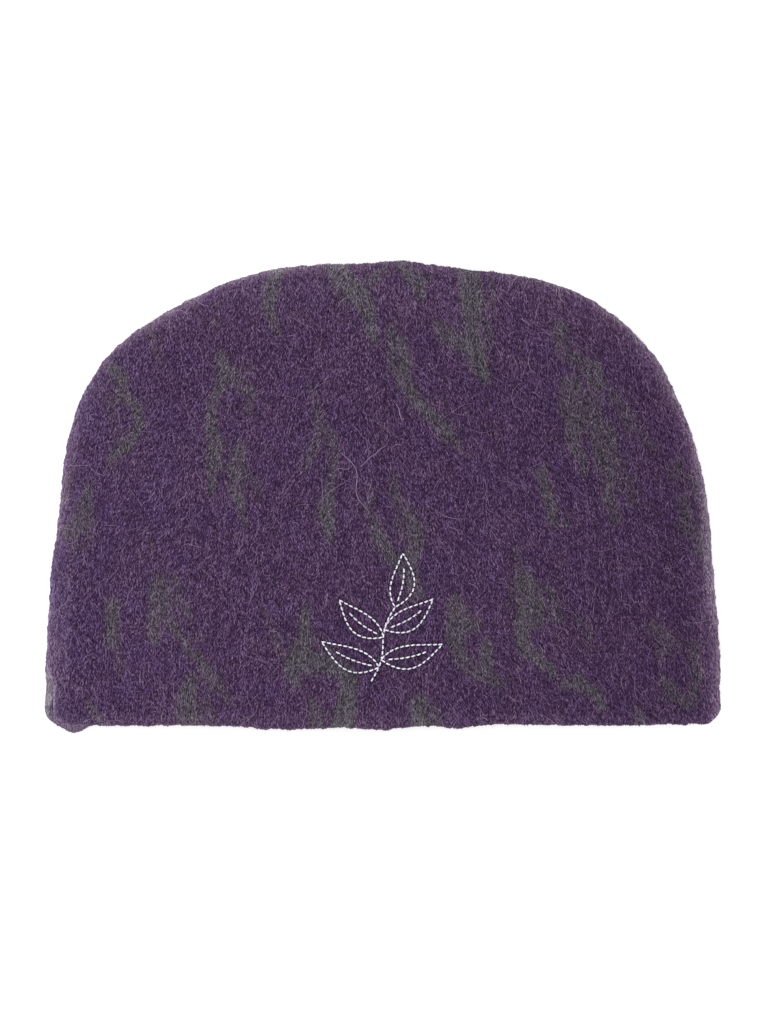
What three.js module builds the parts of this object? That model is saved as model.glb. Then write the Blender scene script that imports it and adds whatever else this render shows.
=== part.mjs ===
// A brushed-knit beanie lying flat. Two D-shaped knitted panels meet in a seam round the crown and the
// sides and are open along the straight rim, which is the mouth. Millimetres, +Z up.
// +X runs across the beanie, +Y from the rim to the crown. The back panel lies on z = 0 and the origin
// is on that surface, under the middle of the outline.

import * as THREE from "three";

// Knit
const wall = 2.8;
const seamGap = 0.3;

// Plan outline: a superellipse about the middle of the rim line, then the rim line itself
const outlineHalfWidth = 124.8;
const outlineHeight = 169;
const outlineExponent = 3.06;
const rimMiddle = { x: 0, y: -82.9 };
const rimDrop = 0.9;
const rimWarpReach = 45;

// Where the real outline swells past the superellipse or falls short of it.
// at and spread are degrees about the middle of the rim, from +X; out is mm.
const outlineBulges = [
  { at: 25, out: -1.3, spread: 10 },
  { at: 54, out: 0.6, spread: 5 },
  { at: 77, out: -1.5, spread: 7 },
  { at: 88, out: 1.1, spread: 3 },
  { at: 117, out: -4.1, spread: 10 },
  { at: 128, out: 3.2, spread: 14 },
  { at: 148, out: -1.7, spread: 7 },
];

// Slack waves of the rim edge, all in mm
const rimWaves = [
  { x: -34, drop: 1.5, spread: 16 },
  { x: -1, drop: 1.5, spread: 11 },
  { x: 27, drop: 0.8, spread: 7 },
  { x: 50, drop: -0.6, spread: 14 },
  { x: 108, drop: -0.4, spread: 13 },
];
const rimCornerRadius = { left: 13, right: 4.5 };

// Heights of the lying beanie
const seamHeight = 6.4;
const rollWidth = 6.5;
const frontShoulderHeight = 12.6;
const frontCrownRise = 2.6;
const frontCrownReach = 42;
const rimEdgeBulge = 0.8;

// Soft rises and hollows of the front panel, mm
const frontSwells = [
  { x: -78, y: -38, reach: 34, lift: 0.7 },
  { x: -58, y: 34, reach: 26, lift: -0.7 },
  { x: 2, y: 58, reach: 30, lift: 0.5 },
  { x: 30, y: -12, reach: 38, lift: -0.5 },
  { x: 88, y: -44, reach: 28, lift: 0.6 },
  { x: 62, y: 42, reach: 26, lift: 0.5 },
];

// The back panel's lower left corner rolls out past the front panel
const cornerPeek = { x: -118, y: -82, reach: 10, out: 3.9, towardX: -0.38, towardY: -0.92 };
const cornerSeamLift = 2.2;

// Grid: columns run from the seam in to a spine along the rim
const columns = 56;
const rollRows = 5;
const fieldRows = 8;
const spineHalfWidth = 62;
const tangentStep = 0.002;

const frontColour = 0x4f3c59;
const backColour = 0x54485a;
const knitRoughness = 0.95;

function bell(distance, spread) {
  return Math.exp(-((distance / spread) ** 2));
}

// Outline radius about the middle of the rim, at an angle from +X
function outlineRadius(angle) {
  const across = Math.abs(Math.cos(angle)) / outlineHalfWidth;
  const along = Math.abs(Math.sin(angle)) / outlineHeight;
  let radius = (across ** outlineExponent + along ** outlineExponent) ** (-1 / outlineExponent);
  for (const bulge of outlineBulges) {
    radius += bulge.out * bell(THREE.MathUtils.radToDeg(angle) - bulge.at, bulge.spread);
  }
  return radius;
}

function outlinePoint(angle) {
  const radius = outlineRadius(angle);
  return new THREE.Vector2(radius * Math.cos(angle), radius * Math.sin(angle));
}

// Unit vector from the outline into the panel
function inwardNormal(angle) {
  const before = outlinePoint(Math.max(0, angle - tangentStep));
  const after = outlinePoint(Math.min(Math.PI, angle + tangentStep));
  const along = after.sub(before).normalize();
  return new THREE.Vector2(-along.y, along.x);
}

// Moves a plan point, given about the middle of the rim, so that the straight rim gets its waves and
// rounded corners
function shapeRim(plan) {
  const fade = Math.max(0, 1 - plan.y / rimWarpReach) ** 2;
  let shift = -rimDrop;
  for (const wave of rimWaves) {
    shift -= wave.drop * bell(plan.x - wave.x, wave.spread);
  }
  const radius = plan.x < 0 ? rimCornerRadius.left : rimCornerRadius.right;
  const intoCorner = THREE.MathUtils.clamp(Math.abs(plan.x) - (outlineHalfWidth - radius), 0, radius);
  shift += radius - Math.sqrt(radius ** 2 - intoCorner ** 2);
  return new THREE.Vector2(plan.x + rimMiddle.x, plan.y + shift * fade + rimMiddle.y);
}

// One grid point in plan. turn is 0 at the seam and a right angle where the roll is over; inset is how
// far the point lies from the seam.
function gridPoint(row, column) {
  const angle = (Math.PI * column) / columns;
  const edge = outlinePoint(angle);
  const rollEnd = edge.clone().addScaledVector(inwardNormal(angle), rollWidth);
  if (row <= rollRows) {
    const turn = (Math.PI / 2) * (row / rollRows);
    const inset = rollWidth * (1 - Math.cos(turn));
    const plan = edge.clone().lerp(rollEnd, 1 - Math.cos(turn));
    return { plan: shapeRim(plan), turn, inset };
  }
  const spine = new THREE.Vector2(spineHalfWidth * (1 - (2 * column) / columns), 0);
  const plan = rollEnd.clone().lerp(spine, (row - rollRows) / fieldRows);
  return { plan: shapeRim(plan), turn: Math.PI / 2, inset: rollWidth + plan.distanceTo(rollEnd) };
}

function cornerShare(plan) {
  return bell(Math.hypot(plan.x - cornerPeek.x, plan.y - cornerPeek.y), cornerPeek.reach);
}

function seamHeightAt(plan) {
  return seamHeight + cornerSeamLift * cornerShare(plan);
}

function frontPoint({ plan, turn, inset }) {
  const seam = seamHeightAt(plan) + seamGap / 2;
  let top = frontShoulderHeight + frontCrownRise * (1 - bell(inset - rollWidth, frontCrownReach));
  for (const swell of frontSwells) {
    top += swell.lift * bell(Math.hypot(plan.x - swell.x, plan.y - swell.y), swell.reach);
  }
  return new THREE.Vector3(plan.x, plan.y, seam + (top - seam) * Math.sin(turn));
}

function backPoint({ plan, turn }) {
  const seam = seamHeightAt(plan) - seamGap / 2;
  const push = cornerPeek.out * cornerShare(plan) * Math.sin(turn);
  return new THREE.Vector3(
    plan.x + cornerPeek.towardX * push,
    plan.y + cornerPeek.towardY * push,
    seam * (1 - Math.sin(turn)),
  );
}

// Closes a panel: outer skin, inner skin one wall away, the flat seam face and the rounded rim edge.
// facing is 1 where the outer skin looks up and -1 where it looks down.
function panelGeometry(pointAt, facing) {
  const rows = rollRows + fieldRows;
  const positions = [];
  const triangles = [];

  function addVertex(point) {
    positions.push(point.x, point.y, point.z);
    return positions.length / 3 - 1;
  }

  function addQuad(a, b, c, d) {
    if (facing > 0) {
      triangles.push(a, b, c, a, c, d);
    } else {
      triangles.push(a, c, b, a, d, c);
    }
  }

  const outer = [];
  for (let row = 0; row <= rows; row += 1) {
    outer.push([]);
    for (let column = 0; column <= columns; column += 1) {
      outer[row].push(pointAt(gridPoint(row, column)));
    }
  }

  // The wall is one thickness everywhere: its direction is level at the seam and upright past the roll
  const inner = outer.map((line, row) => line.map((point, column) => {
    const inward = inwardNormal((Math.PI * column) / columns);
    const { turn } = gridPoint(row, column);
    const across = new THREE.Vector3(inward.x, inward.y, 0).multiplyScalar(Math.cos(turn));
    const through = new THREE.Vector3(0, 0, -facing * Math.sin(turn));
    return point.clone().addScaledVector(across.add(through), wall);
  }));

  const outerIndex = outer.map((line) => line.map(addVertex));
  const innerIndex = inner.map((line) => line.map(addVertex));
  for (let row = 0; row < rows; row += 1) {
    for (let column = 0; column < columns; column += 1) {
      const cell = [[row, column], [row, column + 1], [row + 1, column + 1], [row + 1, column]];
      addQuad(...cell.map(([r, c]) => outerIndex[r][c]));
      addQuad(...cell.reverse().map(([r, c]) => innerIndex[r][c]));
    }
  }

  // Once round the panel's edge: along the seam, then along the rim by the last column, the spine and
  // the first column. A middle line between the skins rounds the rim and is level on the seam.
  const border = [];
  for (let column = 0; column <= columns; column += 1) {
    border.push({ row: 0, column, bulge: 0 });
  }
  for (let row = 1; row <= rows; row += 1) {
    border.push({ row, column: columns, bulge: rimEdgeBulge });
  }
  for (let column = columns - 1; column >= 0; column -= 1) {
    border.push({ row: rows, column, bulge: rimEdgeBulge });
  }
  for (let row = rows - 1; row >= 1; row -= 1) {
    border.push({ row, column: 0, bulge: rimEdgeBulge });
  }
  const middleIndex = border.map(({ row, column, bulge }) => {
    const middle = outer[row][column].clone().lerp(inner[row][column], 0.5);
    return addVertex(middle.setY(middle.y - bulge));
  });
  border.forEach(({ row, column }, step) => {
    const nextStep = (step + 1) % border.length;
    const next = border[nextStep];
    const [middle, nextMiddle] = [middleIndex[step], middleIndex[nextStep]];
    addQuad(outerIndex[next.row][next.column], outerIndex[row][column], middle, nextMiddle);
    addQuad(nextMiddle, middle, innerIndex[row][column], innerIndex[next.row][next.column]);
  });

  const geometry = new THREE.BufferGeometry();
  geometry.setAttribute("position", new THREE.Float32BufferAttribute(positions, 3));
  geometry.setIndex(triangles);
  geometry.computeVertexNormals();
  return geometry;
}

const frontPanel = new THREE.Mesh(
  panelGeometry(frontPoint, 1),
  new THREE.MeshStandardMaterial({ color: frontColour, roughness: knitRoughness, metalness: 0 }),
);
frontPanel.name = "front_panel";

const backPanel = new THREE.Mesh(
  panelGeometry(backPoint, -1),
  new THREE.MeshStandardMaterial({ color: backColour, roughness: knitRoughness, metalness: 0 }),
);
backPanel.name = "back_panel";

const beanie = new THREE.Group();
beanie.add(frontPanel, backPanel);

export default beanie;
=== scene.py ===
# A brushed-knit beanie lying flat: two knitted panels, the brushed pile on them and a stitched sprig.
# Shapes are worked out in millimetres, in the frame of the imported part, and scaled as a mesh is made.
import math

import bpy
import numpy as np
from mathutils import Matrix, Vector
from mathutils.bvhtree import BVHTree


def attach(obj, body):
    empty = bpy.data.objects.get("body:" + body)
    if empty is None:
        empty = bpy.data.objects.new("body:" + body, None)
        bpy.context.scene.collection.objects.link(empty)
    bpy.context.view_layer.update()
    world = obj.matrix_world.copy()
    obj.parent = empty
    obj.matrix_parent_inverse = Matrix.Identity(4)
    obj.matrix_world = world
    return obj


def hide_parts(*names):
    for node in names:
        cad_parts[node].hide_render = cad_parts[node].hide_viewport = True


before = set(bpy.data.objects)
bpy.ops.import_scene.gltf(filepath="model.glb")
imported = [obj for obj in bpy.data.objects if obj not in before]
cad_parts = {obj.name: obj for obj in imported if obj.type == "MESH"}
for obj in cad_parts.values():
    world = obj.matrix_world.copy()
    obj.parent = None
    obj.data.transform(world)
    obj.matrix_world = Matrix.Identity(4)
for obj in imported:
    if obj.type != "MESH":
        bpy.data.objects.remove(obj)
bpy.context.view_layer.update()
mm = 0.001


# Small helpers
def bell(distance, spread):
    return np.exp(-(distance / spread) ** 2)


def smoothStep(low, high, value):
    share = np.clip((value - low) / (high - low), 0, 1)
    return share * share * (3 - 2 * share)


def cloud(x, y, size, seed):
    # soft random hills from -1 to 1, each about size across
    lattice = np.random.default_rng(seed).uniform(-1, 1, (64, 64))
    across, along = np.asarray(x) / size + 500, np.asarray(y) / size + 500
    column, row = np.floor(across).astype(int), np.floor(along).astype(int)
    fx, fy = smoothStep(0, 1, across - column), smoothStep(0, 1, along - row)
    near = lattice[row % 64, column % 64] * (1 - fx) + lattice[row % 64, (column + 1) % 64] * fx
    far = lattice[(row + 1) % 64, column % 64] * (1 - fx) + lattice[(row + 1) % 64, (column + 1) % 64] * fx
    return near * (1 - fy) + far * fy


def clouds(x, y, layers):
    # each layer has its strength, size and seed
    return sum(strength * cloud(x, y, size, seed) for strength, size, seed in layers)


def unit(vectors):
    return vectors / np.maximum(np.linalg.norm(vectors, axis=-1, keepdims=True), 1e-9)


def lengthAlong(path):
    return np.concatenate([[0], np.cumsum(np.linalg.norm(np.diff(path, axis=0), axis=1))])


def pointsAlong(path, at):
    # the places of a path in plan at these lengths along it
    along = lengthAlong(path)
    return np.stack([np.interp(at, along, path[:, 0]), np.interp(at, along, path[:, 1])], -1)


def makeObject(name, points, faces, smooth=True):
    mesh = bpy.data.meshes.new(name)
    mesh.from_pydata((np.asarray(points) * mm).tolist(), [], [list(face) for face in faces])
    if smooth:
        mesh.shade_smooth()
    made = bpy.data.objects.new(name, mesh)
    bpy.context.scene.collection.objects.link(made)
    return made


def storeOnPoints(made, name, values):
    # one number or one vector for each point of the mesh
    values = np.asarray(values, np.float32)
    kind, field = ("FLOAT", "value") if values.ndim == 1 else ("FLOAT_VECTOR", "vector")
    made.data.attributes.new(name, kind, "POINT").data.foreach_set(field, values.ravel())


def storeBakeMap(made, places):
    # a ready-made map for baking, with one place for each point of the mesh
    corners = np.empty(len(made.data.loops), np.int32)
    made.data.loops.foreach_get("vertex_index", corners)
    layer = made.data.uv_layers.new(name="OFBake")
    layer.uv.foreach_set("vector", np.asarray(places, np.float32)[corners].ravel())


# Outline in plan: a superellipse about the middle of the rim
outline = {
    "halfWidth": 124.8,
    "height": 169.0,
    "exponent": 3.06,
    "rimMiddle": -82.9,
    "rimDrop": 0.5,
    "rimWarpReach": 45.0,
    "leftCorner": {"front": 13.0, "back": 14.9},
    "rightCorner": {"front": 8.0, "back": 8.0},
    "pileDepth": 0.6,       # the knit lies this far inside the outline, which is that of its pile
    "bulges": [  # degrees about the middle of the rim, mm outwards, spread in degrees
        (25, -1.3, 10),
        (54, 0.6, 5),
        (77, -1.5, 7),
        (88, 1.1, 3),
        (117, -4.1, 10),
        (128, 3.2, 14),
        (148, -1.7, 7),
        (166, -0.75, 14),
        (178, 0.75, 12),
    ],
    "rimWaves": [  # x, drop, spread
        (-34, 1.5, 16),
        (-1, 1.5, 11),
        (27, 0.8, 7),
        (50, -0.6, 14),
        (108, -0.4, 13),
    ],
}


def outlinePoint(angle):
    across = np.abs(np.cos(angle)) / outline["halfWidth"]
    along = np.abs(np.sin(angle)) / outline["height"]
    power = outline["exponent"]
    radius = (across ** power + along ** power) ** (-1 / power) - outline["pileDepth"]
    for at, out, spread in outline["bulges"]:
        radius = radius + out * bell(np.degrees(angle) - at, spread)
    return np.stack([radius * np.cos(angle), radius * np.sin(angle)], -1)


def inwardNormal(angle):
    step = 0.002
    ahead = outlinePoint(np.minimum(math.pi, angle + step))
    along = unit(ahead - outlinePoint(np.maximum(0, angle - step)))
    return np.stack([-along[..., 1], along[..., 0]], -1)


def shapeRim(plan, side):
    # gives the straight rim its waves and rounded corners
    x, y = plan[..., 0], plan[..., 1]
    fade = np.maximum(0, 1 - y / outline["rimWarpReach"]) ** 2
    shift = np.full(x.shape, -outline["rimDrop"])
    for at, drop, spread in outline["rimWaves"]:
        shift = shift - drop * bell(x - at, spread)
    corner = np.where(x < 0, outline["leftCorner"][side], outline["rightCorner"][side])
    into = np.clip(np.abs(x) - (outline["halfWidth"] - corner), 0, corner)
    shift = shift + corner - np.sqrt(corner ** 2 - into ** 2)
    return np.stack([x, y + shift * fade + outline["rimMiddle"]], -1)


# The knit's own grid: stitch columns that lean in towards the crown from both sides of a middle line
knit = {
    "column": 2.2,           # width of a stitch
    "row": 1.6,              # height of a stitch
    "lean": 11.5,            # degrees from upright, of the left side, at leanHeight
    "leanRight": -0.62,      # the right side leans the other way, this much as far
    "leanHeight": 14.0,
    "leanReach": 50.0,
    "leanLeast": 0.2,        # share of the lean that is left at the rim
    "middle": -3.0,
    "middleBlur": 4.0,
    "rowTilt": 0.072,        # rows hang lowest at the middle
    "rowBlur": 10.0,
    "legLean": 13.0,         # degrees that the legs of a stitch lean apart
    "unevenness": 0.13,
}


def leanSide(x):
    left, right = 1.0, knit["leanRight"]
    return (left + right) / 2 - (left - right) / 2 * np.tanh((x - knit["middle"]) / knit["middleBlur"])


def leanProfile(y):
    least = knit["leanLeast"]
    share = least + (1 - least) * bell(y - knit["leanHeight"], knit["leanReach"])
    return math.tan(math.radians(knit["lean"])) * share


# how far the lean has carried the stitch columns at each height, a millimetre at a time
driftHeights = np.arange(-130.0, 131.0)
driftTable = np.cumsum(leanProfile(driftHeights))


def columnPlace(x, y):
    return x - leanSide(x) * np.interp(y, driftHeights, driftTable)


def rowSag(x):
    return knit["rowTilt"] * np.hypot(x - knit["middle"], knit["rowBlur"])


def knitPlace(flat):
    # column and row coordinates, in mm, of places on the flat knit
    x, y = flat[..., 0], flat[..., 1]
    return np.stack([columnPlace(x, y), y - rowSag(x)], -1)


# Olive-grey patches of the front, charted as brush strokes: strength, then x, y and width along a stroke
frontChart = {
    "ringAtLeft": [
        (0.9, [(-100, 47, 3), (-95, 42, 4), (-96, 37, 4), (-90, 33, 3.5), (-89, 25, 3.5), (-94, 19, 5),
               (-100, 13, 3)]),
        (0.7, [(-96, 37, 4), (-100, 33, 3)]),
        (0.45, [(-98, 31, 3), (-98, 20, 3)]),
    ],
    "leftSide": [
        (0.6, [(-114, 9, 3.5), (-115, 5, 3), (-117, -2, 4)]),
        (0.85, [(-107, 4, 3), (-109, -2, 5), (-109, -9, 6), (-115, -14, 6)]),
        (0.6, [(-107, -11, 3), (-107, -18, 2.5), (-113, -21, 3)]),
    ],
    "leftShoulder": [
        (0.5, [(-86, 62, 3), (-81, 49, 2.5)]),
        (0.35, [(-61, 70, 2.5), (-61, 60, 2.5)]),
    ],
    "crownLeft": [
        (0.9, [(-38, 82, 4.5), (-41, 76, 5.5), (-42, 71, 5.5), (-41, 66, 4), (-39, 60, 2.5)]),
    ],
    "crownMiddle": [
        (1.0, [(-17, 84, 7), (-14, 78, 8), (-9, 73, 7), (-6, 68, 5.5), (-4, 60, 4), (-3, 57, 3)]),
        (0.7, [(0, 83, 3.5), (-5, 77, 3.5)]),
        (0.6, [(-17, 76, 3), (-14, 70, 3)]),
    ],
    "crownTick": [
        (0.9, [(8, 84, 6), (12, 78, 5.5), (14, 72, 3)]),
        (0.5, [(18, 83, 3), (16, 78, 2.5)]),
    ],
    "crownRight": [
        (1.0, [(31, 82, 8), (33, 70, 7.5), (32, 62, 6), (34, 52, 7.5), (36, 47, 5), (38, 42, 2.5)]),
        (0.85, [(31, 55, 6), (26, 57, 5), (21, 61, 4)]),
        (0.6, [(40, 80, 2.5), (40, 71, 2.5)]),
        (0.6, [(38, 65, 3), (39, 57, 3)]),
    ],
    "ringAtMiddleLeft": [
        (0.85, [(-59, 51, 4), (-57, 46, 5), (-60, 40, 4), (-63, 34, 3), (-63, 27, 5), (-61, 18, 5.5),
                (-63, 2, 2.5)]),
        (0.75, [(-57, 46, 5), (-52, 41, 4), (-48, 38, 3.5), (-49, 32, 2.5)]),
        (0.5, [(-54, 45, 4), (-48, 46, 3)]),
        (0.8, [(-52, 17, 4), (-53, 9, 5), (-54, 2, 6), (-53, -3, 4.5), (-50, -9, 2.5)]),
        (0.75, [(-61, 11, 3.5), (-54, 9, 4), (-49, 8, 3)]),
        (0.5, [(-46, 7, 3), (-45, 0, 2.5)]),
    ],
    "forkLeftOfMiddle": [
        (0.45, [(-26, 40, 2.5), (-24, 31, 3)]),
        (0.75, [(-24, 30, 3), (-22, 24, 4), (-25, 17, 3.5), (-28, 11, 3.5)]),
        (0.7, [(-21, 23, 3), (-18, 19, 4), (-18, 12, 3.5), (-19, 3, 3)]),
        (0.9, [(-20, 2, 3.5), (-21, -5, 6), (-20, -11, 5), (-19, -16, 3)]),
    ],
    "longSlant": [
        (0.7, [(3, 62, 4), (3, 55, 3.5), (3, 47, 3.5)]),
        (0.9, [(6, 56, 3.5), (8, 48, 5), (8, 41, 5.5), (12, 36, 5), (20, 27, 4.5), (24, 22, 3.5),
               (28, 17, 2.5)]),
    ],
    "twinAtMiddle": [
        (0.7, [(4, 6, 3.5), (5, -2, 4), (8, -6, 4.5)]),
        (0.85, [(9, -7, 5), (12, -13, 5), (12, -18, 5), (9, -25, 7.5), (10, -30, 7), (12, -36, 5)]),
        (0.7, [(6, -9, 3), (7, -15, 3.5)]),
        (0.5, [(-4, 1, 3), (-5, -7, 3)]),
        (0.9, [(-3, -9, 4), (-1, -15, 4.5), (2, -22, 5.5), (7, -25, 5)]),
    ],
    "broadRight": [
        (0.75, [(65, 60, 5.5), (66, 52, 4.5)]),
        (0.85, [(71, 50, 6), (76, 46, 7.5), (80, 40, 5)]),
        (0.85, [(68, 40, 7), (69, 32, 8.5), (71, 26, 6.5), (69, 22, 5), (74, 9, 3)]),
        (0.6, [(73, 40, 5), (78, 36, 7), (75, 30, 8)]),
        (0.75, [(76, 29, 7), (81, 22, 9), (82, 14, 9.5), (83, 6, 6), (83, -1, 4.5), (86, -10, 2.5)]),
        (0.55, [(87, 10, 7), (90, 2, 7), (91, -3, 4)]),
        (0.6, [(82, 39, 4), (88, 32, 4.5), (93, 25, 4.5), (99, 18, 3)]),
    ],
    "smallHook": [
        (0.85, [(58, 9, 5), (60, 1, 4.5), (62, -4, 4), (61, -9, 3), (67, -10, 2.5)]),
    ],
    "rightSide": [
        (0.6, [(109, 13, 3), (107, 7, 3.5)]),
        (0.6, [(112, 7, 3), (115, 0, 3)]),
        (0.7, [(110, -1, 3), (111, -9, 4.5), (114, -14, 5), (117, -20, 4)]),
        (0.4, [(110, -8, 3), (109, -16, 2.5)]),
    ],
    "hookRightOfMiddle": [
        (0.85, [(26, -39, 5.5), (28, -46, 8), (26, -53, 5), (29, -59, 4.5), (35, -65, 4.5), (43, -68, 3)]),
        (0.8, [(30, -48, 5), (35, -48, 3)]),
        (0.9, [(38, -54, 4), (38, -64, 4.5)]),
    ],
    "lowRight": [
        (0.5, [(49, -20, 3), (50, -28, 4)]),
        (0.95, [(52, -31, 6), (54, -39, 9), (55, -45, 9)]),
        (0.95, [(51, -44, 4.5), (51, -53, 4.5), (54, -57, 5), (58, -62, 4.5), (62, -65, 3)]),
        (0.6, [(57, -35, 5), (62, -36, 4), (64, -45, 4)]),
        (0.4, [(70, -45, 3), (75, -48, 3), (75, -57, 3)]),
        (0.85, [(65, -69, 3), (72, -67, 5), (78, -72, 5), (80, -78, 3)]),
        (0.4, [(47, -31, 3), (47, -38, 3)]),
    ],
    "cornerRight": [
        (0.6, [(99, -48, 4.5), (104, -52, 5), (101, -60, 3)]),
        (0.35, [(105, -56, 4), (112, -55, 4)]),
        (0.7, [(114, -56, 4.5), (115, -66, 4.5), (113, -75, 5), (107, -73, 4), (103, -69, 3.5)]),
        (0.6, [(93, -79, 3), (95, -85, 4.5)]),
    ],
    "lowMiddle": [
        (0.5, [(-43, -42, 2.5), (-39, -53, 3), (-35, -60, 4)]),
        (0.95, [(-28, -42, 3), (-28, -49, 5), (-30, -58, 8), (-33, -62, 6), (-32, -69, 3)]),
        (1.0, [(-30, -61, 8), (-23, -62, 7), (-14, -63, 5.5), (-12, -67, 6.5), (-13, -74, 6),
               (-15, -85, 8)]),
        (0.55, [(-23, -54, 4), (-17, -57, 4)]),
        (0.55, [(-26, -77, 5), (-24, -84, 6)]),
        (0.95, [(13, -76, 6), (14, -84, 8)]),
        (0.6, [(19, -79, 4), (20, -85, 4)]),
    ],
    "lowLeft": [
        (0.35, [(-85, -17, 3), (-84, -23, 2.5)]),
        (0.85, [(-82, -32, 6.5), (-82, -42, 8), (-84, -48, 5), (-83, -53, 3.5)]),
        (0.6, [(-76, -32, 4.5), (-75, -40, 5), (-71, -44, 3)]),
        (0.75, [(-79, -45, 4), (-73, -53, 3.5), (-67, -60, 4.5), (-62, -69, 6)]),
        (0.5, [(-71, -51, 3), (-66, -52, 3)]),
        (0.5, [(-61, -66, 4), (-56, -77, 3)]),
        (0.85, [(-70, -68, 5), (-72, -76, 8), (-71, -85, 8)]),
        (0.6, [(-65, -76, 5), (-63, -85, 6)]),
    ],
    "cornerLeft": [
        (0.9, [(-99, -40, 5), (-99, -53, 5)]),
        (0.5, [(-97, -56, 3), (-96, -64, 3)]),
        (0.7, [(-107, -77, 4), (-103, -84, 4.5)]),
    ],
}
# The back is knitted in the same colours from another part of the repeat: turned left to right and moved
backShift = (-22, -12)
backChart = {
    "turned": [
        (strength, [(backShift[0] - x, y + backShift[1], width) for x, y, width in stroke])
        for strokes in frontChart.values() for strength, stroke in strokes
    ],
    "leftCorner": [
        (1.0, [(-129, -62, 8), (-129, -72, 12), (-126, -80, 9)]),
    ],
}


patchEdge = {
    "strayX": [(0.8, 5, 21)],
    "strayY": [(1.4, 7, 22)],
    "blur": (-1.9, 1.1),     # mm outside and inside a stroke's edge
}


def oliveShare(flat, chart):
    # from 0 in the purple ground to 1 in the middle of a strong stroke
    x, y = flat[..., 0], flat[..., 1]
    x, y = x + clouds(x, y, patchEdge["strayX"]), y + clouds(x, y, patchEdge["strayY"])
    share = np.zeros(x.shape)
    for strength, stroke in [entry for strokes in chart.values() for entry in strokes]:
        for (x0, y0, width0), (x1, y1, width1) in zip(stroke, stroke[1:]):
            run = np.array([x1 - x0, y1 - y0], float)
            part = np.clip(((x - x0) * run[0] + (y - y0) * run[1]) / (run @ run), 0, 1)
            away = np.hypot(x - x0 - part * run[0], y - y0 - part * run[1])
            half = (width0 + (width1 - width0) * part) / 2
            share = np.maximum(share, strength * smoothStep(*patchEdge["blur"], half - away))
    return share


# The stitched sprig: a curved stem with leaves, every line a running stitch
sprig = {
    "middle": (1.5, -44.8),
    "reach": 40.0,           # no stitch is further from the middle
    "stemBottom": (-6.0, -23.5),
    "stemTop": (3.0, 4.0),
    "stemSway": 1.3,
    "stitchPitch": 2.05,
    "stitchLength": 1.5,
    "stitchStart": 0.15,     # share of the pitch
    "threadRadius": 0.31,
    "plyRadius": 0.62,       # shares of the thread's radius: how thick a ply is
    "plyPlace": 0.52,        # and how far its middle lies from the thread's
    "twists": 1.2,
    "archHeight": 0.75,
    "sink": 0.35,
    "samples": 60,           # points of a leaf's side before it is cut into stitches
    "midrib": (6, 44),       # the first and last of them that the midrib takes
    "bellyShift": 0.85,
    "tipTaper": 0.25,
    "leafBend": 1.6,
    "leaves": [  # share of the stem's height, heading in degrees, length, width
        (0.20, 156, 23, 9.5),
        (0.30, 14, 23, 9.5),
        (0.60, 140, 21, 9.0),
        (0.70, 32, 21, 9.0),
        (1.00, 82, 20, 9.6),
    ],
}


def stemPoint(share):
    (x0, y0), (x1, y1) = sprig["stemBottom"], sprig["stemTop"]
    sway = sprig["stemSway"] * np.sin(math.tau * share)
    return np.stack([x0 + (x1 - x0) * share + sway, y0 + (y1 - y0) * share], -1)


def leafPaths(share, heading, length, width):
    # the leaf's outline, there and back, and its midrib
    along = np.array([math.cos(math.radians(heading)), math.sin(math.radians(heading))])
    side = np.array([-along[1], along[0]])
    out = np.linspace(0, 1, sprig["samples"])
    belly = width / 2 * np.sin(math.pi * out ** sprig["bellyShift"]) * (1 - sprig["tipTaper"] * out)
    bend = sprig["leafBend"] * np.sin(math.pi * out) * (1 if heading > 90 else -1)
    spine = stemPoint(np.array(share)) + out[:, None] * length * along + bend[:, None] * side
    there = spine + belly[:, None] * side
    back = (spine - belly[:, None] * side)[::-1]
    return [np.concatenate([there, back[1:]]), spine[slice(*sprig["midrib"])]]


def stitchEnds():
    # start and end of every stitch, in plan
    ends = []
    paths = [stemPoint(np.linspace(0, 1, 80))]
    for leaf in sprig["leaves"]:
        paths += leafPaths(*leaf)
    length = sprig["stitchLength"] / sprig["stitchPitch"]
    for path in paths:
        whole = lengthAlong(path)[-1]
        count = round(whole / sprig["stitchPitch"])
        for k in range(count):
            at = (k + sprig["stitchStart"] + np.array([0, length])) * whole / count
            ends.append(pointsAlong(path + np.array(sprig["middle"]), at))
    return np.array(ends)


stitches = stitchEnds()


def nearStitches(plan, reach):
    # 1 on a stitch, fading over reach
    share = np.zeros(plan.shape[:-1])
    x, y = sprig["middle"]
    window = np.hypot(plan[..., 0] - x, plan[..., 1] - y) < sprig["reach"]
    points = plan[window]
    best = np.full(len(points), np.inf)
    for start, end in stitches:
        run = end - start
        part = np.clip(((points - start) @ run) / (run @ run), 0, 1)
        best = np.minimum(best, np.linalg.norm(points - start - part[:, None] * run, axis=1))
    share[window] = bell(best, reach)
    return share


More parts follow.
